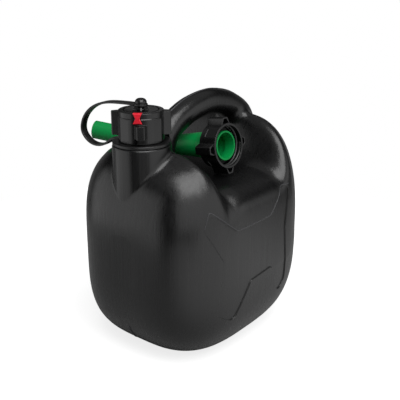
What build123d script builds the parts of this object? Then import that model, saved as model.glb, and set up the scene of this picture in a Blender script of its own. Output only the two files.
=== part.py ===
"""Five litre plastic fuel can with a screw cap, a captive strap and a stowed pouring spout.

Millimetres, +Z up. The can stands on the plane z = 0 with its length along Y, the neck at the -Y end
and the moulding seam in the plane x = 0.
"""

import math
import os

from build123d import *

# Body of the can
body_width = 180.0
body_length = 218.0
wall = 2.4
mid_height = 106.0
foot_cut = 1.6
plan_power = 3.2
height_power = 3.8
base_front_power = 3.9
base_rear_power = 3.1
valley_power = 9.0
rear_power = 2.8
front_level = 220.0
valley_level = 184.0
rear_level = 247.2
front_wall_share = (-0.57, -0.33)
rear_wall_share = (0.3, 0.74)
front_square_share = (-0.5, -0.2)
rear_square_share = (0.36, 0.7)
base_square_share = (-0.7, 0.7)
panel_depth = 1.0
panel_draft = 1.2
panel_steps = 2
panel_corner = 7.0
neck_blend = 6.0

# Neck, thread finish and the stack that closes it
neck_set_back = 33.0
neck_radius = 28.8
neck_top = 223.0
neck_edge = 2.0
finish_radius = 19.6
finish_top = 240.2
bore_radius = 16.8
gasket_height = 2.0
flange_height = 2.0
seat_gap = 0.1
turn_gap = 0.4

# Handle
handle_radius = 13.3
handle_top = 261.6
handle_rear_share = 0.77
handle_gap = 0.8
handle_blend = 12.0

# Screw rings of the cap and of the spout
ring_height = 29.4
collar_height = 20.6
ring_radius = 22.4
ring_bore = 20.3
band_radius = 21.9
band_height = 5.8
cap_lip_height = 11.4
collar_lip_height = 4.4
lip_radius = 17.7
lug_radius = 28.4
lug_foot_width = 12.5
lug_top_width = 7.0
lug_wall = 1.5
lug_round = 1.6
lug_count = 4
lug_angle = -47.0
rim_set_back = 1.2
facet_sink = 0.6
facet_share = 0.3
edge_round = 0.7

# Closure disc with its stud
disc_radius = 16.6
disc_wall = 2.0
stud_foot_radius = 4.4
stud_foot_height = 2.6
fin_reach = 8.4
fin_width = 1.8
stud_neck_radius = 2.9
stud_neck_height = 3.4
stud_head_radius = 5.7
stud_head_height = 4.6
fin_chamfer_share = 0.9
stud_dome_share = 0.85

# Lock button
button_width = 8.6
button_height = 10.0
button_waist = 4.2
button_proud = 1.5
button_depth = 3.0
button_travel = 1.5
button_angle = -54.5
button_rise = 0.6
button_gap = 0.35

# Strap
strap_ring_radius = 28.4
strap_ring_height = 3.0
strap_ring_gap = 0.5
strap_width = 5.8
strap_thickness = 2.3
eye_gap = 0.4
eye_radius = 6.6
strap_reach = 72.5
strap_turn = 8.0

# Spout
spout_inset = 38.5
spout_along_share = -0.0514
spout_rise = 31.0
spout_tilt = 8.5
spout_tip_yaw = 21.0
spout_tip_rise = 6.5
spout_wall = 1.8
stub_radius = 14.7
stub_reach = 9.6
root_radius = 16.4
cone_radius = 13.2
tube_radius = 9.9
cone_length = 13.0
taper_length = 45.0
bend_radius = 46.0
tip_length = 71.0

# How finely the free-form shapes are drawn
section_points = 24
section_mix = 3.4
section_count = 48
offset_steps = 12
strap_steps = 28
touch = 0.001
probe_share = 0.4

# Handle line as shares: along Y between the legs, and up from the valley to the grip line
handle_line_shares = (
    (-0.021, -0.09),
    (-0.021, 0.1),
    (-0.014, 0.32),
    (0.013, 0.548),
    (0.082, 0.72),
    (0.185, 0.843),
    (0.296, 0.931),
    (0.406, 0.978),
    (0.513, 1.0),
    (0.642, 0.97),
    (0.765, 0.905),
    (0.876, 0.797),
    (0.958, 0.667),
    (1.008, 0.47),
    (1.0, 0.118),
)

# Side panel outline as shares: along Y of the half length, and up of the valley's height
panel_middle_share = 0.62
panel_outline_shares = (
    (-0.35, 0.15),
    (0.15, 0.157),
    (0.355, 0.295),
    (0.48, 0.29),
    (0.42, 0.05),
    (0.47, -0.29),
    (0.36, -0.37),
    (0.19, -0.145),
    (-0.14, -0.165),
    (-0.36, -0.37),
    (-0.58, -0.3),
    (-0.5, 0.0),
    (-0.7, 0.2),
    (-0.64, 0.29),
)

# Strap line as shares: out of its reach, and up from the ring to the eye
strap_line_shares = (
    (0.45, -0.01),
    (0.56, -0.15),
    (0.69, -0.26),
    (0.825, -0.25),
    (0.935, -0.12),
    (0.995, 0.08),
    (0.985, 0.3),
    (0.91, 0.57),
    (0.8, 0.765),
    (0.67, 0.89),
    (0.51, 0.965),
    (0.345, 0.99),
    (0.2, 1.0),
)

# Places worked out from the sizes above
base_depth = mid_height + foot_cut
neck_y = neck_set_back - body_length / 2
handle_front_y = neck_y + neck_radius
handle_rear_y = body_length / 2 * handle_rear_share


def smooth_step(share):
    """Fifth-degree step from 0 to 1 with level ends."""
    held = max(0.0, min(1.0, share))
    return held**3 * (10 - 15 * held + 6 * held**2)


def smooth_rate(share):
    """Slope of the step."""
    if share <= 0 or share >= 1:
        return 0.0
    return 30 * share**2 * (1 - share) ** 2


def across(y, span_share):
    """How far y lies across a wall whose ends are given as shares of the half length."""
    half = body_length / 2
    start, end = (half * share for share in span_share)
    return (y - start) / (end - start), end - start


def crest_line(y):
    """Height of the outer top line above the middle at a station, and its slope."""
    front, front_span = across(y, front_wall_share)
    rear, rear_span = across(y, rear_wall_share)
    drop = valley_level - front_level
    climb = rear_level - valley_level
    height = front_level - mid_height + drop * smooth_step(front) + climb * smooth_step(rear)
    slope = drop * smooth_rate(front) / front_span + climb * smooth_rate(rear) / rear_span
    return height, slope


def crest(y, inset):
    """Height of the top line moved in by the inset square to itself."""
    place = y
    for step in range(offset_steps):
        height, slope = crest_line(place)
        place = y - inset * slope / math.hypot(1, slope)
    height, slope = crest_line(place)
    return height - inset / math.hypot(1, slope)


def crest_power(y):
    """How square the upper half of the cross-section is at a station."""
    into_valley = smooth_step(across(y, front_square_share)[0])
    out_of_valley = smooth_step(across(y, rear_square_share)[0])
    squarer = (valley_power - height_power) * into_valley
    return height_power + squarer + (rear_power - valley_power) * out_of_valley


def body_section(y, inset):
    """Closed cross-section of the can at one station along its length."""
    half_width = body_width / 2 - inset
    fill = 1 - abs(y / (body_length / 2 - inset)) ** plan_power
    width = half_width * fill ** (1 / plan_power)
    top_power = crest_power(y)
    base_power = base_front_power
    base_power += (base_rear_power - base_front_power) * smooth_step(across(y, base_square_share)[0])
    above = crest(y, inset) * fill ** (1 / top_power)
    below = (base_depth - inset) * fill ** (1 / base_power)
    points = []
    for step in range(section_points):
        angle = 2 * math.pi * step / section_points
        up, out = math.sin(angle), math.cos(angle)
        share = abs(up) ** section_mix / (abs(up) ** section_mix + abs(out) ** section_mix)
        x = math.copysign(width * max(0.0, 1 - share) ** (1 / plan_power), out)
        rise = above * share ** (1 / top_power) if up > 0 else -below * share ** (1 / base_power)
        z = mid_height + rise
        points.append(Vector(x, y, z))
    turns = [step / section_points for step in range(section_points + 1)]
    return make_face(Edge.make_spline(points, periodic=True, parameters=turns))


def stations(inset):
    """Places of the cross-sections along the length, closing up evenly towards both ends."""
    half = body_length / 2 - inset
    return [half * math.sin(math.pi * (step / section_count - 0.5)) for step in range(1, section_count)]


def body_form(inset):
    """The can without neck and handle: a pillow with a valley across its top, cut level underneath."""
    form = loft([body_section(y, inset) for y in stations(inset)])
    under = Box(2 * body_width, 2 * body_length, body_width)
    return form - Pos(0, 0, inset - body_width / 2) * under


def handle_bar(inset):
    """Round bar swept along the arch from the neck to the rear, hollowed in front to clear the cap."""
    span = handle_rear_y - handle_front_y
    axis_top = handle_top - handle_radius
    rise = axis_top - valley_level
    points = [
        (0, handle_front_y + span * along, valley_level + rise * up)
        for along, up in handle_line_shares
    ]
    line = Spline(*points, tangents=[(0, 0, 1), (0, 0, -1)])
    start = Plane(origin=line @ 0, z_dir=line % 0)
    bar = sweep(start * Circle(handle_radius - inset), path=line)
    cap_room = Cylinder(strap_ring_radius + handle_gap + inset, handle_top - neck_top + 2 * inset)
    return bar - Pos(0, neck_y, (handle_top + neck_top) / 2) * cap_room


def side_panels(grow):
    """Cross-shaped prism through both sides, where the panels sink into the faces."""
    middle = valley_level * panel_middle_share
    points = [
        (body_length / 2 * along, middle + valley_level * up) for along, up in panel_outline_shares
    ]
    outline = make_face(Polyline(*points, close=True))
    outline = fillet(outline.vertices(), panel_corner)
    if grow > 0:
        outline = offset(outline, grow)
    return extrude(Plane.YZ * outline, body_width, both=True)


def joined(first, second, radius, region):
    """Two solids in one, with the seam between them rounded where its edges lie in the region."""
    whole = first + second
    seam = []
    for edge in whole.edges():
        spot = Vertex(edge.position_at(probe_share))
        near_first = min(face.distance_to(spot) for face in first.faces())
        near_second = min(face.distance_to(spot) for face in second.faces())
        if max(near_first, near_second) < touch and region(edge.center()):
            seam.append(edge)
    return fillet(seam, radius)


def can_body():
    """Hollow can: form, neck and hollow handle in one wall, with the seam in the plane x = 0."""
    neck_root = front_level - 2 * neck_radius
    neck = Pos(0, neck_y, (neck_root + neck_top) / 2) * Cylinder(neck_radius, neck_top - neck_root)
    neck = fillet(neck.edges().group_by(Axis.Z)[-1], neck_edge)
    form = body_form(0)
    form = joined(form, neck, neck_blend, lambda spot: spot.Y < 0)
    form = joined(form, handle_bar(0), handle_blend, lambda spot: spot.Y > 0)
    for step in range(panel_steps):
        share = (step + 1) / panel_steps
        form -= side_panels(panel_draft * (1 - share)) - body_form(panel_depth * share)
    finish_height = finish_top - neck_top + wall
    finish = Cylinder(finish_radius, finish_height)
    form += Pos(0, neck_y, finish_top - finish_height / 2) * finish
    well_top = neck_top - wall
    well = Cylinder(neck_radius - wall, well_top - neck_root)
    bore_height = finish_top - neck_root
    bore = Cylinder(bore_radius, bore_height)
    hollow = body_form(wall) + handle_bar(wall)
    hollow += Pos(0, neck_y, (neck_root + well_top) / 2) * well
    hollow += Pos(0, neck_y, neck_root + bore_height / 2) * bore
    return form - hollow


def lug_outline(inset):
    """Cross-section of one grip lug across the ring's axis: a wing that narrows outwards."""
    foot = lug_foot_width / 2 - inset
    top = lug_top_width / 2 - inset
    start = ring_bore + lug_wall / 2 if inset == 0 else ring_radius
    end = lug_radius - inset
    face = make_face(Polyline((start, -foot), (end, -top), (end, top), (start, foot), close=True))
    return fillet(face.vertices().group_by(Axis.X)[-1], lug_round - min(inset, lug_round / 2))


def lug_form(low, high):
    """One hollow lug between two levels, open towards the mouth."""
    shell = Pos(0, 0, low) * extrude(lug_outline(0), high - low)
    pocket = Pos(0, 0, low) * extrude(lug_outline(lug_wall), high - low - lug_wall)
    return shell, pocket


def ring_form(height, lip_height, lug_levels):
    """Screw ring standing mouth down on the plane z = 0: skirt, band, inner lip and hollow lugs."""
    skirt_top = height - band_height
    lip_under = height - lip_height
    outline = Polyline(
        (ring_bore, 0),
        (ring_radius, 0),
        (ring_radius, skirt_top),
        (band_radius, skirt_top + edge_round),
        (band_radius, height),
        (lip_radius, height),
        (lip_radius, lip_under),
        (ring_bore, lip_under),
        close=True,
    )
    ring = revolve(Plane.XZ * make_face(outline), Axis.Z)
    ring = fillet(ring.edges().group_by(Axis.Z)[-1].sort_by(SortBy.LENGTH)[-1], edge_round)
    facet_height = skirt_top - 3 * edge_round
    facet_wide = 2 * math.pi * ring_radius * facet_share / lug_count
    facet = Box(2 * facet_sink, facet_wide, facet_height)
    facet_mid = Pos(ring_radius, 0, facet_height / 2 + 2 * edge_round)
    for index in range(lug_count):
        ring -= Rot(0, 0, 360 / lug_count * (index + 0.5)) * facet_mid * facet
    for index in range(lug_count):
        turn = Rot(0, 0, 360 / lug_count * index)
        shell, pocket = lug_form(*lug_levels[index])
        ring += turn * shell
        ring -= turn * pocket
    return ring


ring_base = neck_top + strap_ring_height + 2 * turn_gap
ring_place = Pos(0, neck_y, ring_base)


def bow_tie(grow):
    """Outline of the lock button: wide at both ends, narrow at the waist."""
    half_wide = button_width / 2 + grow
    half_tall = button_height / 2 + grow
    half_waist = button_waist / 2 + grow
    points = [
        (-half_wide, half_tall),
        (-half_waist, 0),
        (-half_wide, -half_tall),
        (half_wide, -half_tall),
        (half_waist, 0),
        (half_wide, half_tall),
    ]
    return make_face(Polyline(*points, close=True))


button_level = ring_base + ring_height + button_rise - button_height / 2
button_plane = Plane(
    origin=(0, neck_y, button_level),
    x_dir=(-math.sin(math.radians(button_angle)), math.cos(math.radians(button_angle)), 0),
    z_dir=(math.cos(math.radians(button_angle)), math.sin(math.radians(button_angle)), 0),
)


def lock_button():
    """Push button in the ring's band, rounded proud of it."""
    start = band_radius - button_depth
    tall = extrude(bow_tie(0), button_depth + button_proud)
    tall = fillet(tall.faces().sort_by(Axis.Z)[-1].edges(), edge_round)
    return button_plane.location * Pos(0, 0, start) * tall


def cap_ring():
    """The ring of the cap, with the pocket for the lock button."""
    start = band_radius - button_depth - button_travel - button_gap
    pocket = extrude(bow_tie(button_gap), lug_radius)
    low = band_height
    high = ring_height - 2 * edge_round
    under_button = button_level - button_height / 2 - lug_wall - ring_base
    levels = [(low, under_button)] + [(low, high)] * (lug_count - 1)
    ring = ring_place * Rot(0, 0, lug_angle) * ring_form(ring_height, cap_lip_height, levels)
    return ring - button_plane.location * Pos(0, 0, start) * pocket


disc_base = finish_top + gasket_height + 2 * seat_gap
disc_top = ring_base + ring_height


def cap_disc():
    """Closure disc under the ring's lip, with the finned stud that carries the strap's eye."""
    flange = Cylinder(ring_bore - 2 * turn_gap, flange_height)
    disc = Pos(0, 0, disc_base + flange_height / 2) * flange
    plate_height = disc_top - disc_base
    plate = Cylinder(disc_radius, plate_height)
    plate = fillet(plate.edges().group_by(Axis.Z)[-1], edge_round)
    disc += Pos(0, 0, disc_base + plate_height / 2) * plate
    cup_height = plate_height - disc_wall
    disc -= Pos(0, 0, disc_base + cup_height / 2) * Cylinder(disc_radius - disc_wall, cup_height)
    foot = Cone(stud_foot_radius, stud_neck_radius, stud_foot_height)
    disc += Pos(0, 0, disc_top + stud_foot_height / 2) * foot
    fin = Box(2 * fin_reach, fin_width, 2 * stud_foot_height)
    fin = chamfer(fin.faces().sort_by(Axis.Z)[-1].edges().filter_by(Axis.Y), stud_foot_height * fin_chamfer_share)
    for turn in (45, 135):
        disc += Pos(0, 0, disc_top) * Rot(0, 0, turn) * fin
    neck_base = disc_top + stud_foot_height
    disc += Pos(0, 0, neck_base + stud_neck_height / 2) * Cylinder(stud_neck_radius, stud_neck_height)
    head_base = neck_base + stud_neck_height
    head = Cylinder(stud_head_radius, stud_head_height)
    head = fillet(head.edges().group_by(Axis.Z)[-1], stud_head_height * stud_dome_share)
    disc += Pos(0, 0, head_base + stud_head_height / 2) * head
    return Pos(0, neck_y, 0) * disc


def washer(outer_radius, inner_radius, height):
    """Flat ring standing on the plane z = 0."""
    solid = Cylinder(outer_radius, height) - Cylinder(inner_radius, height)
    return Pos(0, 0, height / 2) * solid


def cap_gasket():
    """Seal between the neck's lip and the closure disc."""
    return Pos(0, neck_y, finish_top + seat_gap) * washer(
        finish_radius - turn_gap, bore_radius - gasket_height, gasket_height
    )


def cap_strap():
    """Ring round the neck, band looped out to the side, and eye round the stud's neck."""
    ring_under = neck_top + seat_gap
    ring = Pos(0, 0, ring_under) * washer(
        strap_ring_radius, finish_radius + strap_ring_gap, strap_ring_height
    )
    eye_level = disc_top + stud_foot_height + stud_neck_height / 2
    eye_height = stud_neck_height - 2 * eye_gap
    eye = Pos(0, 0, eye_level - eye_height / 2) * washer(
        eye_radius, stud_neck_radius + eye_gap, eye_height
    )
    half = strap_thickness / 2
    low = ring_under + half
    points = [(-strap_ring_radius + strap_ring_height, 0, low)]
    points += [(-strap_reach * out, 0, low + (eye_level - low) * up) for out, up in strap_line_shares]
    points += [(-eye_radius + half, 0, eye_level)]
    line = Spline(*points)
    sides = []
    for side in (-half, half):
        shares = [step / strap_steps for step in range(strap_steps + 1)]
        edge = [line @ share + (line % share).cross(Vector(0, side, 0)) for share in shares]
        sides.append(Spline(*edge))
    ends = [Line(sides[0] @ end, sides[1] @ end) for end in (0, 1)]
    band = extrude(make_face([*sides, *ends]), strap_width / 2, both=True)
    return Pos(0, neck_y, 0) * Rot(0, 0, strap_turn) * (ring + eye + band)


spout_mouth = (body_width / 2 - spout_inset, body_length / 2 * spout_along_share, valley_level + spout_rise)


def spout_frame():
    """Plane at the spout ring's mouth: its normal runs along the spout towards the tip."""
    tilt = math.radians(spout_tilt)
    along = Vector(-math.cos(tilt), 0, -math.sin(tilt))
    yaw, rise = math.radians(spout_tip_yaw), math.radians(spout_tip_rise)
    tip = Vector(-math.cos(yaw) * math.cos(rise), -math.sin(yaw) * math.cos(rise), math.sin(rise))
    across_bend = (tip - along * tip.dot(along)).normalized()
    bend_angle = math.degrees(math.acos(tip.dot(along)))
    return Plane(origin=spout_mouth, x_dir=across_bend, z_dir=along), bend_angle


def spout_collar():
    """Screw ring of the spout, its mouth open to the side, one lug straight down."""
    tilt = Plane(
        origin=spout_mouth,
        x_dir=(0, 1, 0),
        z_dir=(-math.cos(math.radians(spout_tilt)), 0, -math.sin(math.radians(spout_tilt))),
    )
    levels = [(rim_set_back, collar_height - edge_round)] * lug_count
    return tilt.location * ring_form(collar_height, collar_lip_height, levels)


def tube_form(inset):
    """The spout's body from the flange to the tip, in the frame of its mouth."""
    bend_angle = spout_frame()[1]
    root = collar_height - collar_lip_height - 2 * seat_gap - turn_gap
    cone_end = collar_height + cone_length
    bend_start = cone_end + taper_length
    outline = Polyline(
        (0, root),
        (root_radius - inset, root),
        (root_radius - inset, collar_height + seat_gap),
        (cone_radius - inset, cone_end),
        (tube_radius - inset, bend_start),
        (0, bend_start),
        close=True,
    )
    body = revolve(Plane.XZ * make_face(outline), Axis.Z)
    start = (0, 0, bend_start)
    radians = math.radians(bend_angle)
    middle = (
        bend_radius * (1 - math.cos(radians / 2)),
        0,
        bend_start + bend_radius * math.sin(radians / 2),
    )
    end = (bend_radius * (1 - math.cos(radians)), 0, bend_start + bend_radius * math.sin(radians))
    arc = ThreePointArc(start, middle, end)
    away = Vector(math.sin(radians), 0, math.cos(radians))
    line = Line(end, Vector(end) + away * tip_length)
    body += sweep(Plane.XY.offset(bend_start) * Circle(tube_radius - inset), path=arc)
    tip_plane = Plane(origin=end, x_dir=(0, 1, 0), z_dir=away)
    body += tip_plane.location * Pos(0, 0, tip_length / 2) * Cylinder(tube_radius - inset, tip_length)
    return body


def spout_tube():
    """Bent pouring tube with the flange held by the ring's lip and the stub that enters a neck."""
    plane = spout_frame()[0]
    flange_top = collar_height - collar_lip_height - 2 * seat_gap - turn_gap
    flange_base = flange_top - flange_height
    tube = tube_form(0)
    tube += Pos(0, 0, flange_base) * Pos(0, 0, flange_height / 2) * Cylinder(
        ring_bore - 2 * turn_gap, flange_height
    )
    stub = Pos(0, 0, flange_base - stub_reach / 2) * Cylinder(stub_radius, stub_reach)
    tube += stub
    tube -= tube_form(spout_wall)
    passage = stub_reach + flange_height
    tube -= Pos(0, 0, flange_top - passage / 2) * Cylinder(stub_radius - spout_wall, passage)
    return plane.location * tube


def spout_gasket():
    """Seal on the mouth side of the spout's flange."""
    plane = spout_frame()[0]
    flange_base = collar_height - collar_lip_height - 2 * seat_gap - turn_gap - flange_height
    level = flange_base - gasket_height - seat_gap
    seal = washer(finish_radius - turn_gap, stub_radius + seat_gap, gasket_height)
    return plane.location * Pos(0, 0, level) * seal


nodes = {
    "can_body": can_body,
    "cap_strap": cap_strap,
    "cap_ring": cap_ring,
    "cap_disc": cap_disc,
    "cap_gasket": cap_gasket,
    "lock_button": lock_button,
    "spout_tube": spout_tube,
    "spout_collar": spout_collar,
    "spout_gasket": spout_gasket,
}

os.makedirs("parts", exist_ok=True)
for name, make in nodes.items():
    export_step(make(), os.path.join("parts", name + ".step"))
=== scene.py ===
"""Looks of a plastic fuel can: finishes for its solids, screw threads, moulding seams, the cap's strap, and a stage."""

import math

import bpy
import numpy as np
from mathutils import Matrix, Vector
from mathutils.bvhtree import BVHTree


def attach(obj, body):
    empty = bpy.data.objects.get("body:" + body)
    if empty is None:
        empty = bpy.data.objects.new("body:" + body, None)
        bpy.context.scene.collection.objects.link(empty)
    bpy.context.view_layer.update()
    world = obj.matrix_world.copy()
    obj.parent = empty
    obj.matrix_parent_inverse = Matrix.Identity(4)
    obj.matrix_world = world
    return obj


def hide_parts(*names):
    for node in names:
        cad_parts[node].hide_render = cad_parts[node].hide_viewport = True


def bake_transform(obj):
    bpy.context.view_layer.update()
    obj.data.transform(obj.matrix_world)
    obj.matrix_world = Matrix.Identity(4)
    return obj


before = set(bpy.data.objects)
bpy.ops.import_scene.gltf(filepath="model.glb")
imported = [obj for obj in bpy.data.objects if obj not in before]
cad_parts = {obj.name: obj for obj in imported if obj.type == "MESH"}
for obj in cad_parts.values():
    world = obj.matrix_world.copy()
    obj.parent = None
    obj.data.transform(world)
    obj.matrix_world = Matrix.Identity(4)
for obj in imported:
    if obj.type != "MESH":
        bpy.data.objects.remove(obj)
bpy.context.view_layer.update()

bl_info = {
    "name": "Fuel can finish",
    "version": (1, 0, 0),
    "blender": (4, 5, 0),
    "location": "View3D > Sidebar > Fuel can",
    "description": "Dresses the solids of a plastic fuel can and sets up its stage",
    "category": "Object",
}

# Places on the can, in metres, shared by several pieces
NECK = np.array((0.0, -0.076, 0.0))
SPOUT_MOUTH = np.array((0.0515, -0.0056, 0.215))
SPOUT_TILT = math.radians(8.5)
CAN_MIDDLE = np.array((0.0, 0.0, 0.12))

# Runs of the moulding seam round the can's middle, from +Y towards +Z in degrees, with their number of steps, and
# the bearing and half width of the pinched end
SEAM_RUNS = (("seam_rear", 110, -57, 300), ("seam_pinch", 218, 229, 48))
SEAM_SUNK = 0.0004
PINCH_BEARING = 223
PINCH_REACH = 6

# Screw threads: the wall that carries each and where it starts, above the floor or behind the collar's mouth
THREAD_TURNS = 2.0
THREAD_SUNK = 0.0003
COLLAR_BORE = 0.0203
COLLAR_THREAD_START = 0.0024
NECK_WALL = 0.0196
NECK_THREAD_START = np.array((0.0, 0.0, 0.2292))

# Strap: the band's levels at neck and eye, its reach and turn, its line as shares of the reach and of the rise, and
# width, thickness and rounding of the bars of its ring and eye
STRAP_LOW = 0.22425
STRAP_EYE = 0.2605
STRAP_REACH = 0.0725
STRAP_TURN = math.radians(8.0)
STRAP_SHARES = np.array((
    (0.35, 0.0), (0.45, -0.01), (0.56, -0.15), (0.69, -0.26), (0.825, -0.25), (0.935, -0.12), (0.995, 0.08),
    (0.985, 0.3), (0.91, 0.57), (0.8, 0.765), (0.67, 0.89), (0.51, 0.965), (0.345, 0.99), (0.2, 1.0), (0.075, 1.0),
))
STRAP_RING_RADIUS = 0.02425
STRAP_RING_LEVEL = 0.2246
STRAP_RING_BAR = (0.0083, 0.0030, 0.0007)
STRAP_EYE_RADIUS = 0.00495
STRAP_EYE_BAR = (0.0033, 0.0026, 0.0006)

# Floor, in metres: from where to where it grows white away from the can, to the right and from behind, the light
# that it adds to reflections on the right, and its own grey
FLOOR_FAR = (0.14, 0.34)
FLOOR_RIGHT = (0.05, 0.28)
FLOOR_BEHIND = (0.15, 0.4)
FLOOR_MIRRORED = 0.6
FLOOR_GREY = (0.5, 0.5, 0.5, 1.0)

# Point that the soft box faces
BOX_AIM = Vector((0.0, 0.0, 0.13))

# The camera's own directions
CAMERA_RIGHT = Vector((0.76458, 0.64452, 0.0))
CAMERA_UP = Vector((-0.21164, 0.25107, 0.94455))
CAMERA_BACK = Vector((0.60878, -0.72219, 0.32837))

# Light of the dim room, and its pale screens: where each starts and ends round the can, where it stops above and
# where it starts below, each over two angles in degrees, and its light
ROOM_LIGHT = 0.15
SCREENS = (
    ((-66, -60), (30, 75), (24, 38), (-14, -6), 1.1),
    ((-24, -14), (30, 75), (-14, -6), (-60, -40), 1.1),
    ((-175, -160), (-98, -92), (20, 34), (-40, -30), 1.0),
    ((60, 100), (181, 190), (5, 25), (-40, -20), 0.2),
    ((-182, -181), (181, 182), (89.8, 89.9), (34, 46), 0.28),
)

# Upper edge of the side panels: along Y and up Z, in metres
PANEL_TOP = (
    (-0.0763, 0.1526), (-0.0698, 0.1692), (-0.0382, 0.1433), (0.0164, 0.1446), (0.0387, 0.1701), (0.0523, 0.1692),
)


def length(label, text, default):
    """A size that the user can change, in metres."""
    return bpy.props.FloatProperty(name=label, description=text, default=default, precision=5, unit="LENGTH")


def colour(label, text, default):
    """A colour that the user can change."""
    return bpy.props.FloatVectorProperty(
        name=label, description=text, default=default, size=3, min=0.0, max=1.0, subtype="COLOR"
    )


class CanSizes(bpy.types.PropertyGroup):
    """Sizes of the pieces that are added to the solids."""

    thread_pitch: length("Thread pitch", "Rise of the screw threads in one turn", 0.0042)
    thread_width: length("Thread width", "Width of a thread at its foot", 0.0022)
    collar_thread_depth: length("Collar thread depth", "How far the collar's thread stands in", 0.0009)
    neck_thread_depth: length("Neck thread depth", "How far the neck's thread stands out", 0.0005)
    bead_width: length("Bead width", "Width of the line along the top of the side panels", 0.0010)
    bead_height: length("Bead height", "How far that line stands proud", 0.0003)
    seam_width: length("Seam width", "Width of the moulding seam", 0.0014)
    seam_height: length("Seam height", "How far the moulding seam stands proud", 0.0007)
    pinch_height: length("Pinch height", "How far the pinched end of the seam stands proud low in front", 0.0012)
    strap_width: length("Strap width", "Width of the strap's band", 0.0080)
    strap_thickness: length("Strap thickness", "Thickness of the strap's band", 0.0023)
    strap_round: length("Strap rounding", "Rounding of the strap's edges", 0.0006)


class CanColours(bpy.types.PropertyGroup):
    """Colours of the finishes."""

    can_black: colour("Can", "Blow-moulded can", (0.0045, 0.0045, 0.0047))
    cap_black: colour("Cap", "Screw rings and closure disc", (0.0040, 0.0040, 0.0042))
    strap_black: colour("Strap", "Strap of the cap", (0.0045, 0.0045, 0.0047))
    spout_green: colour("Spout", "Pouring tube", (0.0016, 0.2700, 0.0580))
    button_red: colour("Button", "Lock button", (0.7400, 0.0120, 0.0300))
    seal_black: colour("Seals", "Rubber seals", (0.0060, 0.0060, 0.0060))


class StageSizes(bpy.types.PropertyGroup):
    """Camera and light."""

    camera_place: bpy.props.FloatVectorProperty(
        name="Camera place",
        description="Where the camera stands",
        default=(0.48763, -0.56770, 0.40498),
        size=3,
        precision=5,
        subtype="TRANSLATION",
    )
    lens: bpy.props.FloatProperty(
        name="Lens", description="Focal length in millimetres on a 36 mm wide sensor", default=66.56
    )
    floor_radius: length("Floor radius", "Radius of the round floor", 0.52)
    floor_front: length("Floor front", "Distance from the can's middle to the straight front edge of the floor", 0.45)
    floor_lift: bpy.props.FloatProperty(
        name="Floor lift", description="How much the floor by the can is lifted towards white", default=0.8
    )
    box_size: length("Soft box size", "Side of the square soft box before and above the can", 1.2)
    box_distance: length("Soft box distance", "Distance from the can to the soft box", 1.4)
    box_light: bpy.props.FloatProperty(
        name="Soft box light", description="Brightness of the soft box, where a white surround has 1", default=4.4
    )
    box_azimuth: bpy.props.FloatProperty(
        name="Soft box azimuth", description="Bearing of the soft box from +X", default=math.radians(-28),
        unit="ROTATION",
    )
    box_height: bpy.props.FloatProperty(
        name="Soft box elevation", description="Angle of the soft box above the floor", default=math.radians(57),
        unit="ROTATION",
    )


def put(name, points, faces, material):
    """One mesh object at the origin from arrays of points and faces, shaded smooth."""
    mesh = bpy.data.meshes.new(name)
    mesh.from_pydata(points.reshape(-1, 3), [], faces)
    mesh.polygons.foreach_set("use_smooth", np.ones(len(mesh.polygons), dtype=bool))
    mesh.materials.append(material)
    piece = bpy.data.objects.new(name, mesh)
    bpy.context.scene.collection.objects.link(piece)
    return piece


def grid_faces(rows, columns, close_rows=False, close_columns=True, first=0):
    """Quads of a grid of points, closed round on itself where asked, as an array of indices."""
    row = np.arange(rows if close_rows else rows - 1)
    column = np.arange(columns if close_columns else columns - 1)
    at, across = np.meshgrid(row, column, indexing="ij")
    at_next = (at + 1) % rows
    across_next = (across + 1) % columns
    corners = (
        at * columns + across,
        at * columns + across_next,
        at_next * columns + across_next,
        at_next * columns + across,
    )
    return (np.stack(corners, axis=-1).reshape(-1, 4) + first).tolist()


def capped(rows, columns, first=0):
    """Faces of a tube of rings, with a flat face over each end."""
    start = list(range(first + columns - 1, first - 1, -1))
    last = first + (rows - 1) * columns
    return grid_faces(rows, columns, first=first) + [start, list(range(last, last + columns))]


def smooth_line(knots, count):
    """Natural cubic spline through the knots, read at evenly spaced lengths.

    The second slopes at the knots solve the usual three-band system over chord lengths. Each stretch is then the
    cubic with those second slopes at its ends.
    """
    knots = np.asarray(knots, float)
    steps = np.linalg.norm(np.diff(knots, axis=0), axis=1)
    along = np.concatenate(([0.0], np.cumsum(steps)))
    size = len(knots)
    bands = np.eye(size)
    right = np.zeros_like(knots)
    inner = np.arange(1, size - 1)
    bands[inner, inner - 1] = steps[:-1]
    bands[inner, inner] = 2 * (steps[:-1] + steps[1:])
    bands[inner, inner + 1] = steps[1:]
    slopes = np.diff(knots, axis=0) / steps[:, None]
    right[1:-1] = 6 * np.diff(slopes, axis=0)
    bend = np.linalg.solve(bands, right)

    def read(place):
        span = np.clip(np.searchsorted(along, place, side="right") - 1, 0, size - 2)
        step = steps[span][:, None]
        after = (place - along[span])[:, None]
        before = step - after
        curved = (bend[span] * before**3 + bend[span + 1] * after**3) / (6 * step)
        straight = (knots[span] / step - bend[span] * step / 6) * before
        return curved + straight + (knots[span + 1] / step - bend[span + 1] * step / 6) * after

    fine = read(np.linspace(0, along[-1], 40 * count))
    run = np.concatenate(([0.0], np.cumsum(np.linalg.norm(np.diff(fine, axis=0), axis=1))))
    even = np.linspace(0, run[-1], count)
    return np.stack([np.interp(even, run, fine[:, axis]) for axis in range(3)], axis=1)


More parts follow.
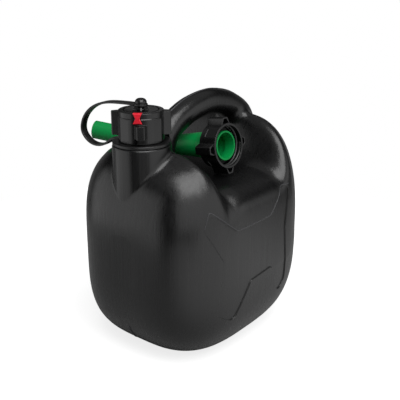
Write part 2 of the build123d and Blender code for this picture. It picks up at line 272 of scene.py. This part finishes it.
def rounded_bar(width, thickness, radius, arc=5):
    """Closed outline of a bar: four quarter circles at the corners of a rectangle, as (across, up) pairs in the turn
    that faces outwards along a path."""
    turn = np.linspace(0, math.pi / 2, arc)
    quarter = np.arange(4)[:, None] * math.pi / 2 + turn[None, :]
    middle_x = np.array((1, -1, -1, 1))[:, None] * (width / 2 - radius)
    middle_y = np.array((1, 1, -1, -1))[:, None] * (thickness / 2 - radius)
    corners = np.stack((middle_x + radius * np.cos(quarter), middle_y + radius * np.sin(quarter)), axis=-1)
    return corners.reshape(-1, 2)[::-1]


def along_path(path, outline, sideways):
    """A closed outline carried along a path: each ring is the path's point plus the outline's across value times
    the sideways direction and its up value times the direction square to both."""
    ahead = np.gradient(path, axis=0)
    ahead /= np.linalg.norm(ahead, axis=1)[:, None]
    sideways = np.broadcast_to(np.asarray(sideways, float), path.shape)
    up = np.cross(sideways, ahead)
    up /= np.linalg.norm(up, axis=1)[:, None]
    across = outline[None, :, 0, None] * sideways[:, None, :]
    rise = outline[None, :, 1, None] * up[:, None, :]
    return path[:, None, :] + across + rise


def first_hits(node, starts, ways):
    """Points where lines from the starts along the ways first meet a solid, which is a mesh of triangles."""
    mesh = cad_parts[node].data
    points = np.empty(3 * len(mesh.vertices), dtype=np.float32)
    mesh.vertices.foreach_get("co", points)
    corners = np.empty(len(mesh.loops), dtype=np.int32)
    mesh.loops.foreach_get("vertex_index", corners)
    tree = BVHTree.FromPolygons(points.reshape(-1, 3).tolist(), corners.reshape(-1, 3).tolist())
    return np.array([tuple(tree.ray_cast(Vector(at), Vector(way))[0]) for at, way in zip(starts, ways)])


def middle_line(node, centre, turn):
    """Outer line of a solid in the plane x = 0: from each angle, measured from +Y towards +Z, a line runs in
    towards the centre, and the point is where it first meets the solid."""
    out = np.stack((np.zeros(len(turn)), np.cos(turn), np.sin(turn)), axis=1)
    return first_hits(node, centre + out, -out)


def side_line(node, line, side):
    """Line of (y, z) pairs laid on a solid: from each pair a line runs in along X from the given side, and the point
    is where it first meets the solid."""
    starts = np.column_stack((np.full(len(line), side), line))
    return first_hits(node, starts, np.broadcast_to((-side, 0.0, 0.0), starts.shape))


def ridge_along(path, across, rise):
    """Low ridge along a path in the plane x = 0: across is measured along X, the rise square to the path, and the
    foot closes the ridge below the surface."""
    ahead = np.gradient(path, axis=0)
    ahead /= np.linalg.norm(ahead, axis=1)[:, None]
    out = np.stack((np.zeros(len(path)), ahead[:, 2], -ahead[:, 1]), axis=1)
    out *= np.sign(np.sum(out * (path - path.mean(axis=0)), axis=1))[:, None]
    side = np.concatenate((across, across[::-1][[0, -1]]))
    up = np.concatenate((rise, np.full((len(path), 2), -SEAM_SUNK)), axis=1)
    points = path[:, None, :] + up[:, :, None] * out[:, None, :]
    points[..., 0] += side[None, :]
    return points


def ring_of(outline, radius, level, centre, count=96):
    """The outline turned round a standing axis: across is measured out from the radius and up from the level."""
    turn = np.linspace(0, 2 * math.pi, count, endpoint=False)
    out = np.stack((np.cos(turn), np.sin(turn), np.zeros(count)), axis=1)
    reach = (radius + outline[:, 0])[None, :, None] * out[:, None, :]
    points = reach + centre[None, None, :]
    points[..., 2] = level + outline[None, :, 1]
    return points


def thread_rings(radius, depth, pitch, width, turns, inwards, per_turn=72):
    """Screw thread on the axis Z: a rounded ridge carried up a helix, fading in and out over its ends.

    The ridge's profile is a half cosine over its width, its foot sunk a little into the wall. Point = radius plus
    or minus the height times the fade, turned by the helix angle and lifted by angle over a full turn times pitch.
    """
    count = int(per_turn * turns)
    angle = np.linspace(0, 2 * math.pi * turns, count)
    lead = np.minimum(angle, angle[-1] - angle) / (math.pi / 3)
    fade = np.clip(lead, 0.0, 1.0) ** 2 * (3 - 2 * np.clip(lead, 0.0, 1.0))
    across = np.linspace(-0.5, 0.5, 9)
    top = depth * np.cos(math.pi * across) ** 0.7
    height = np.concatenate((top, np.full(3, -THREAD_SUNK)))
    level = np.concatenate((across, np.linspace(0.5, -0.5, 3))) * width
    rise = np.where(height[None, :] > 0, height[None, :] * fade[:, None], height[None, :])
    reach = radius + (-rise if inwards else rise)
    z = level[None, :] + (angle / (2 * math.pi) * pitch)[:, None]
    points = np.stack((reach * np.cos(angle)[:, None], reach * np.sin(angle)[:, None], z), axis=-1)
    return points if inwards else points[:, ::-1]


def smooth_range(tree, value, start, end, low, high):
    """Smooth step of a value from low at start to high at end, as an output socket."""
    step = tree.nodes.new("ShaderNodeMapRange")
    step.interpolation_type = "SMOOTHSTEP"
    for name, number in (("From Min", start), ("From Max", end), ("To Min", low), ("To Max", high)):
        step.inputs[name].default_value = number
    tree.links.new(value, step.inputs["Value"])
    return step.outputs["Result"]


def joined(tree, operation, first, second):
    """One sum on two values of a shader tree, as an output socket."""
    node = tree.nodes.new("ShaderNodeMath")
    node.operation = operation
    tree.links.new(first, node.inputs[0])
    tree.links.new(second, node.inputs[1])
    return node.outputs[0]


def skin_group():
    """Shader group for moulded plastic: fine grain, drawn-out streaks along Z, and a slow cloudiness."""
    found = bpy.data.node_groups.get("moulded_skin")
    if found:
        return found
    group = bpy.data.node_groups.new("moulded_skin", "ShaderNodeTree")
    face = group.interface
    face.new_socket("Vector", in_out="INPUT", socket_type="NodeSocketVector")
    for name in ("Grain Scale", "Grain Amount", "Streak Scale", "Streak Amount"):
        face.new_socket(name, in_out="INPUT", socket_type="NodeSocketFloat")
    for name in ("Height", "Cloud", "Streak"):
        face.new_socket(name, in_out="OUTPUT", socket_type="NodeSocketFloat")
    nodes, links = group.nodes, group.links
    start = nodes.new("NodeGroupInput")
    end = nodes.new("NodeGroupOutput")
    squeeze = nodes.new("ShaderNodeVectorMath")
    squeeze.operation = "MULTIPLY"
    squeeze.inputs[1].default_value = (1.0, 1.0, 0.018)
    links.new(start.outputs["Vector"], squeeze.inputs[0])
    streak = nodes.new("ShaderNodeTexNoise")
    streak.inputs["Detail"].default_value = 3.0
    links.new(squeeze.outputs[0], streak.inputs["Vector"])
    links.new(start.outputs["Streak Scale"], streak.inputs["Scale"])
    grain = nodes.new("ShaderNodeTexNoise")
    grain.inputs["Detail"].default_value = 2.0
    links.new(start.outputs["Vector"], grain.inputs["Vector"])
    links.new(start.outputs["Grain Scale"], grain.inputs["Scale"])
    cloud = nodes.new("ShaderNodeTexNoise")
    cloud.inputs["Scale"].default_value = 28.0
    cloud.inputs["Detail"].default_value = 4.0
    links.new(start.outputs["Vector"], cloud.inputs["Vector"])
    drawn = nodes.new("ShaderNodeMath")
    drawn.operation = "MULTIPLY"
    links.new(streak.outputs["Fac"], drawn.inputs[0])
    links.new(start.outputs["Streak Amount"], drawn.inputs[1])
    both = nodes.new("ShaderNodeMath")
    both.operation = "MULTIPLY_ADD"
    links.new(grain.outputs["Fac"], both.inputs[0])
    links.new(start.outputs["Grain Amount"], both.inputs[1])
    links.new(drawn.outputs[0], both.inputs[2])
    links.new(both.outputs[0], end.inputs["Height"])
    links.new(cloud.outputs["Fac"], end.inputs["Cloud"])
    links.new(streak.outputs["Fac"], end.inputs["Streak"])
    return group


def moulded(
    name, tint, rough, grain=1800.0, grain_amount=0.35, streak_scale=420.0, streak=0.5, depth=0.00006, spread=0.25,
    edge=0.0005,
):
    """Moulded plastic: the tint varied by cloudiness, roughness by streaks, and grain and streaks in the bump, over
    edges that look rounded."""
    material = bpy.data.materials.new(name)
    material.use_nodes = True
    nodes, links = material.node_tree.nodes, material.node_tree.links
    shader = nodes["Principled BSDF"]
    place = nodes.new("ShaderNodeTexCoord")
    skin = nodes.new("ShaderNodeGroup")
    skin.node_tree = skin_group()
    skin.inputs["Grain Scale"].default_value = grain
    skin.inputs["Grain Amount"].default_value = grain_amount
    skin.inputs["Streak Scale"].default_value = streak_scale
    skin.inputs["Streak Amount"].default_value = streak
    links.new(place.outputs["Object"], skin.inputs["Vector"])
    ramp = nodes.new("ShaderNodeValToRGB")
    ramp.color_ramp.elements[0].position = 0.3
    ramp.color_ramp.elements[1].position = 0.7
    ramp.color_ramp.elements[0].color = (*[c * (1 - spread) for c in tint], 1.0)
    ramp.color_ramp.elements[1].color = (*[min(1.0, c * (1 + spread)) for c in tint], 1.0)
    links.new(skin.outputs["Cloud"], ramp.inputs["Fac"])
    links.new(ramp.outputs["Color"], shader.inputs["Base Color"])
    worn = nodes.new("ShaderNodeMapRange")
    worn.inputs["From Min"].default_value = 0.3
    worn.inputs["From Max"].default_value = 0.7
    worn.inputs["To Min"].default_value = rough - 0.04
    worn.inputs["To Max"].default_value = rough + 0.04
    links.new(skin.outputs["Streak"], worn.inputs["Value"])
    links.new(worn.outputs["Result"], shader.inputs["Roughness"])
    bump = nodes.new("ShaderNodeBump")
    bump.inputs["Strength"].default_value = 1.0
    bump.inputs["Distance"].default_value = depth
    links.new(skin.outputs["Height"], bump.inputs["Height"])
    rounded = nodes.new("ShaderNodeBevel")
    rounded.samples = 8
    rounded.inputs["Radius"].default_value = edge
    links.new(rounded.outputs["Normal"], bump.inputs["Normal"])
    links.new(bump.outputs["Normal"], shader.inputs["Normal"])
    return material


def dress(node, material):
    """Gives a CAD node the material in all its slots."""
    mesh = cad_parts[node].data
    mesh.materials.clear()
    mesh.materials.append(material)


class FUELCAN_OT_can(bpy.types.Operator):
    """Satin black finish of the blow-moulded can"""

    bl_idname = "fuelcan.can"
    bl_label = "Can"

    def execute(self, context):
        tints = context.scene.fuelcan_colours
        material = moulded(
            "can_black", tints.can_black, 0.29, grain=1400.0, grain_amount=0.05, streak_scale=420.0, streak=1.0,
            depth=0.00011, edge=0.0006,
        )
        dress("can_body", material)
        return {"FINISHED"}


class FUELCAN_OT_seam(bpy.types.Operator):
    """Moulding seam in the can's middle plane over the handle and down the rear, and its pinched end low in front"""

    bl_idname = "fuelcan.seam"
    bl_label = "Seam"

    def execute(self, context):
        sizes = context.scene.fuelcan_sizes
        across = np.linspace(-0.5, 0.5, 7)
        ridge = np.cos(math.pi * across) ** 0.8
        black = bpy.data.materials["can_black"]
        for name, start, end, count in SEAM_RUNS:
            turn = np.radians(np.linspace(start, end, count))
            path = middle_line("can_body", CAN_MIDDLE, turn)
            low = np.clip(1 - np.abs(np.degrees(turn) - PINCH_BEARING) / PINCH_REACH, 0, 1) ** 0.5
            height = sizes.seam_height + (sizes.pinch_height - sizes.seam_height) * low
            fade = np.clip(np.minimum(np.arange(count), np.arange(count)[::-1]) / 8, 0, 1)
            rise = ridge[None, :] * (height * fade)[:, None]
            rings = ridge_along(path, across * sizes.seam_width, rise)
            faces = capped(*rings.shape[:2])
            if end > start:
                faces = [face[::-1] for face in faces]
            seam = put(name, rings, faces, black)
            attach(seam, "can")
        return {"FINISHED"}


class FUELCAN_OT_panels(bpy.types.Operator):
    """Thin line along the upper edge of both side panels: an oval carried along straight stretches, whose corners are
    rounded by a running mean"""

    bl_idname = "fuelcan.panels"
    bl_label = "Panel lines"

    def execute(self, context):
        sizes = context.scene.fuelcan_sizes
        turn = np.linspace(2 * math.pi, 0, 12, endpoint=False)
        oval = np.stack((np.cos(turn) * sizes.bead_height, np.sin(turn) * sizes.bead_width / 2), axis=1)
        knots = np.array(PANEL_TOP)
        blur = 13
        run = np.concatenate(([0.0], np.cumsum(np.linalg.norm(np.diff(knots, axis=0), axis=1))))
        even = np.linspace(0, run[-1], 240)
        line = np.stack([np.interp(even, run, knots[:, axis]) for axis in range(2)], axis=1)
        line = np.pad(line, ((blur // 2, blur // 2), (0, 0)), mode="edge")
        line = np.stack([np.convolve(line[:, axis], np.ones(blur) / blur, "valid") for axis in range(2)], axis=1)
        black = bpy.data.materials["can_black"]
        for name, side in (("panel_line_right", 1.0), ("panel_line_left", -1.0)):
            path = side_line("can_body", line, side)
            rings = along_path(path, oval, (side, 0.0, 0.0))
            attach(put(name, rings, capped(*rings.shape[:2]), black), "can")
        return {"FINISHED"}


class FUELCAN_OT_cap(bpy.types.Operator):
    """Finish of the screw ring, closure disc, seals and lock button"""

    bl_idname = "fuelcan.cap"
    bl_label = "Cap"

    def execute(self, context):
        tints = context.scene.fuelcan_colours
        black = moulded("cap_black", tints.cap_black, 0.24, grain=2600.0, streak=0.0, depth=0.00002)
        for node in ("cap_ring", "cap_disc", "spout_collar"):
            dress(node, black)
        dress("lock_button", moulded("button_red", tints.button_red, 0.34, grain=3200.0, streak=0.0, depth=0.00002))
        rubber = moulded("seal_rubber", tints.seal_black, 0.7, grain=4000.0, streak=0.0, depth=0.00004)
        for node in ("cap_gasket", "spout_gasket"):
            dress(node, rubber)
        return {"FINISHED"}


class FUELCAN_OT_spout(bpy.types.Operator):
    """Finish of the green pouring tube"""

    bl_idname = "fuelcan.spout"
    bl_label = "Spout"

    def execute(self, context):
        tints = context.scene.fuelcan_colours
        green = moulded("spout_green", tints.spout_green, 0.42, grain=1500.0, streak=0.0, depth=0.00003, spread=0.1)
        green.node_tree.nodes["Principled BSDF"].inputs["Specular IOR Level"].default_value = 0.25
        dress("spout_tube", green)
        return {"FINISHED"}


class FUELCAN_OT_threads(bpy.types.Operator):
    """Screw threads inside the spout's collar and on the neck"""

    bl_idname = "fuelcan.threads"
    bl_label = "Threads"

    def execute(self, context):
        sizes = context.scene.fuelcan_sizes
        pitch, width = sizes.thread_pitch, sizes.thread_width
        rings = thread_rings(COLLAR_BORE, sizes.collar_thread_depth, pitch, width, THREAD_TURNS, True)
        rings[..., 2] += COLLAR_THREAD_START
        along = np.array((-math.cos(SPOUT_TILT), 0.0, -math.sin(SPOUT_TILT)))
        side = np.array((0.0, 1.0, 0.0))
        basis = np.stack((side, np.cross(along, side), along))
        rings = rings @ basis + SPOUT_MOUTH
        faces = capped(*rings.shape[:2])
        thread = put("collar_thread", rings, faces, bpy.data.materials["cap_black"])
        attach(thread, "collar")
        rings = thread_rings(NECK_WALL, sizes.neck_thread_depth, pitch, width, THREAD_TURNS, False)
        rings = rings + NECK + NECK_THREAD_START
        thread = put("neck_thread", rings, capped(*rings.shape[:2]), bpy.data.materials["can_black"])
        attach(thread, "can")
        return {"FINISHED"}


class FUELCAN_OT_strap(bpy.types.Operator):
    """Strap from the neck to the cap's stud: ring, looped band and eye"""

    bl_idname = "fuelcan.strap"
    bl_label = "Strap"

    def execute(self, context):
        sizes, tints = context.scene.fuelcan_sizes, context.scene.fuelcan_colours
        black = moulded("strap_black", tints.strap_black, 0.36, grain=2200.0, streak=0.0, depth=0.00003)
        out = np.array((-math.cos(STRAP_TURN), -math.sin(STRAP_TURN), 0.0))
        level = STRAP_LOW + (STRAP_EYE - STRAP_LOW) * STRAP_SHARES[:, 1:]
        knots = NECK + STRAP_SHARES[:, :1] * STRAP_REACH * out + np.array((0.0, 0.0, 1.0)) * level
        bar = rounded_bar(sizes.strap_width, sizes.strap_thickness, sizes.strap_round)
        band = along_path(smooth_line(knots, 120), bar, np.array((-out[1], out[0], 0.0)))
        ring = ring_of(rounded_bar(*STRAP_RING_BAR), STRAP_RING_RADIUS, STRAP_RING_LEVEL, NECK)
        eye = ring_of(rounded_bar(*STRAP_EYE_BAR), STRAP_EYE_RADIUS, STRAP_EYE, NECK, 48)
        points, faces = [], []
        for rings, ends in ((band, True), (ring, False), (eye, False)):
            first = sum(len(part) for part in points)
            rows, columns = rings.shape[:2]
            faces += capped(rows, columns, first) if ends else grid_faces(rows, columns, True, True, first)
            points.append(rings.reshape(-1, 3))
        strap = put("strap", np.concatenate(points), faces, black)
        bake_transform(strap)
        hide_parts("cap_strap")
        return {"FINISHED"}


class FUELCAN_OT_stage(bpy.types.Operator):
    """Pale floor, soft light, white surroundings and the camera"""

    bl_idname = "fuelcan.stage"
    bl_label = "Stage"

    def execute(self, context):
        stage = context.scene.fuelcan_stage
        camera_data = bpy.data.cameras.new("camera")
        camera_data.lens = stage.lens
        camera_data.sensor_width = 36.0
        camera = bpy.data.objects.new("camera", camera_data)
        axes = Matrix((CAMERA_RIGHT, CAMERA_UP, CAMERA_BACK)).transposed().to_4x4()
        camera.matrix_world = Matrix.Translation(stage.camera_place) @ axes
        context.scene.collection.objects.link(camera)
        context.scene.camera = camera
        self.floor(stage)
        self.soft_box(context, stage)
        self.surroundings(context)
        context.scene.view_settings.view_transform = "Standard"
        return {"FINISHED"}

    def floor(self, stage):
        """Round pale floor with a straight front edge, lifted to plain white for the camera away from the can, and
        to white on the right where the can reflects it."""
        turn = np.linspace(0, 2 * math.pi, 96, endpoint=False)
        rim = np.stack((np.cos(turn), np.sin(turn), np.zeros(96)), axis=1) * stage.floor_radius
        rim[:, 1] = np.maximum(rim[:, 1], -stage.floor_front)
        mesh = bpy.data.meshes.new("floor")
        mesh.from_pydata(rim, [], [list(range(96))])
        floor = bpy.data.objects.new("floor", mesh)
        bpy.context.scene.collection.objects.link(floor)
        material = bpy.data.materials.new("floor_white")
        material.use_nodes = True
        tree = material.node_tree
        nodes, links = tree.nodes, tree.links
        shader = nodes["Principled BSDF"]
        shader.inputs["Base Color"].default_value = FLOOR_GREY
        shader.inputs["Roughness"].default_value = 0.9
        shader.inputs["Specular IOR Level"].default_value = 0.0
        shader.inputs["Emission Color"].default_value = (1, 1, 1, 1)
        path = nodes.new("ShaderNodeLightPath")
        place = nodes.new("ShaderNodeTexCoord")
        parts = nodes.new("ShaderNodeSeparateXYZ")
        links.new(place.outputs["Object"], parts.inputs[0])
        away = nodes.new("ShaderNodeVectorMath")
        away.operation = "LENGTH"
        links.new(place.outputs["Object"], away.inputs[0])
        far = smooth_range(tree, away.outputs["Value"], *FLOOR_FAR, stage.floor_lift, 1.0)
        right = smooth_range(tree, parts.outputs["X"], *FLOOR_RIGHT, 0.0, FLOOR_MIRRORED)
        near = smooth_range(tree, parts.outputs["Y"], *FLOOR_BEHIND, 1.0, 0.0)
        right = joined(tree, "MULTIPLY", right, near)
        seen = joined(tree, "MULTIPLY", path.outputs["Is Camera Ray"], far)
        bent = joined(tree, "MAXIMUM", path.outputs["Is Glossy Ray"], path.outputs["Is Transmission Ray"])
        mirrored = joined(tree, "MULTIPLY", bent, right)
        links.new(joined(tree, "ADD", seen, mirrored), shader.inputs["Emission Strength"])
        mesh.materials.append(material)

    def soft_box(self, context, stage):
        """Square soft box that faces the can from before and above."""
        data = bpy.data.lights.new("soft_box", "AREA")
        data.shape = "SQUARE"
        data.size = stage.box_size
        data.energy = stage.box_light * math.pi * stage.box_size**2
        lamp = bpy.data.objects.new("soft_box", data)
        flat = math.cos(stage.box_height)
        toward = Vector((
            flat * math.cos(stage.box_azimuth), flat * math.sin(stage.box_azimuth), math.sin(stage.box_height)
        ))
        turn = (-toward).to_track_quat("-Z", "Y").to_matrix().to_4x4()
        lamp.matrix_world = Matrix.Translation(BOX_AIM + toward * stage.box_distance) @ turn
        context.scene.collection.objects.link(lamp)

    def surroundings(self, context):
        """White to the camera. In the can's reflections, pale screens to the right, the left and behind, with a dark
        gap before the can. A dim room otherwise."""
        world = bpy.data.worlds.new("studio")
        world.use_nodes = True
        tree = world.node_tree
        nodes, links = tree.nodes, tree.links
        nodes.clear()
        path = nodes.new("ShaderNodeLightPath")
        place = nodes.new("ShaderNodeTexCoord")
        parts = nodes.new("ShaderNodeSeparateXYZ")
        links.new(place.outputs["Generated"], parts.inputs[0])
        height = parts.outputs["Z"]
        bearing = joined(tree, "ARCTAN2", parts.outputs["Y"], parts.outputs["X"])
        backdrop = path.outputs["Is Camera Ray"]
        for start, end, top, foot, strength in SCREENS:
            first = smooth_range(tree, bearing, *np.radians(start), 0.0, 1.0)
            last = smooth_range(tree, bearing, *np.radians(end), 1.0, 0.0)
            under = smooth_range(tree, height, *np.sin(np.radians(top)), strength, 0.0)
            over = smooth_range(tree, height, *np.sin(np.radians(foot)), 0.0, 1.0)
            wide = joined(tree, "MULTIPLY", first, last)
            high = joined(tree, "MULTIPLY", under, over)
            backdrop = joined(tree, "MAXIMUM", backdrop, joined(tree, "MULTIPLY", wide, high))
        bent = joined(tree, "MAXIMUM", path.outputs["Is Glossy Ray"], path.outputs["Is Transmission Ray"])
        seen = joined(tree, "MAXIMUM", bent, path.outputs["Is Camera Ray"])
        room = nodes.new("ShaderNodeBackground")
        room.inputs["Strength"].default_value = ROOM_LIGHT
        pale = nodes.new("ShaderNodeBackground")
        links.new(backdrop, pale.inputs["Strength"])
        for shader in (room, pale):
            shader.inputs["Color"].default_value = (1, 1, 1, 1)
        mix = nodes.new("ShaderNodeMixShader")
        links.new(seen, mix.inputs["Fac"])
        links.new(room.outputs[0], mix.inputs[1])
        links.new(pale.outputs[0], mix.inputs[2])
        surface = nodes.new("ShaderNodeOutputWorld")
        links.new(mix.outputs[0], surface.inputs["Surface"])
        context.scene.world = world


class FUELCAN_PT_panel(bpy.types.Panel):
    """Lists the pieces, their sizes and their colours"""

    bl_idname = "FUELCAN_PT_panel"
    bl_label = "Fuel can"
    bl_space_type = "VIEW_3D"
    bl_region_type = "UI"
    bl_category = "Fuel can"

    def draw(self, context):
        layout = self.layout
        for operator in OPERATORS:
            layout.operator(operator.bl_idname)
        for group in (context.scene.fuelcan_sizes, context.scene.fuelcan_colours, context.scene.fuelcan_stage):
            box = layout.box()
            for name in group.bl_rna.properties.keys():
                if name not in ("rna_type", "name"):
                    box.prop(group, name)


OPERATORS = (
    FUELCAN_OT_can,
    FUELCAN_OT_seam,
    FUELCAN_OT_panels,
    FUELCAN_OT_cap,
    FUELCAN_OT_spout,
    FUELCAN_OT_threads,
    FUELCAN_OT_strap,
    FUELCAN_OT_stage,
)
GROUPS = {"fuelcan_sizes": CanSizes, "fuelcan_colours": CanColours, "fuelcan_stage": StageSizes}


def register():
    """Registers the classes and hangs the property groups on the scene."""
    for group in (*GROUPS.values(), *OPERATORS, FUELCAN_PT_panel):
        bpy.utils.register_class(group)
    for name, group in GROUPS.items():
        setattr(bpy.types.Scene, name, bpy.props.PointerProperty(type=group))


def unregister():
    """Takes the property groups and classes away again."""
    for name in GROUPS:
        delattr(bpy.types.Scene, name)
    for group in reversed((*GROUPS.values(), *OPERATORS, FUELCAN_PT_panel)):
        bpy.utils.unregister_class(group)


def main():
    """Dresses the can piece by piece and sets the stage."""
    register()
    bpy.ops.fuelcan.can()
    bpy.ops.fuelcan.seam()
    bpy.ops.fuelcan.panels()
    bpy.ops.fuelcan.cap()
    bpy.ops.fuelcan.spout()
    bpy.ops.fuelcan.threads()
    bpy.ops.fuelcan.strap()
    bpy.ops.fuelcan.stage()


if __name__ == "__main__":
    main()
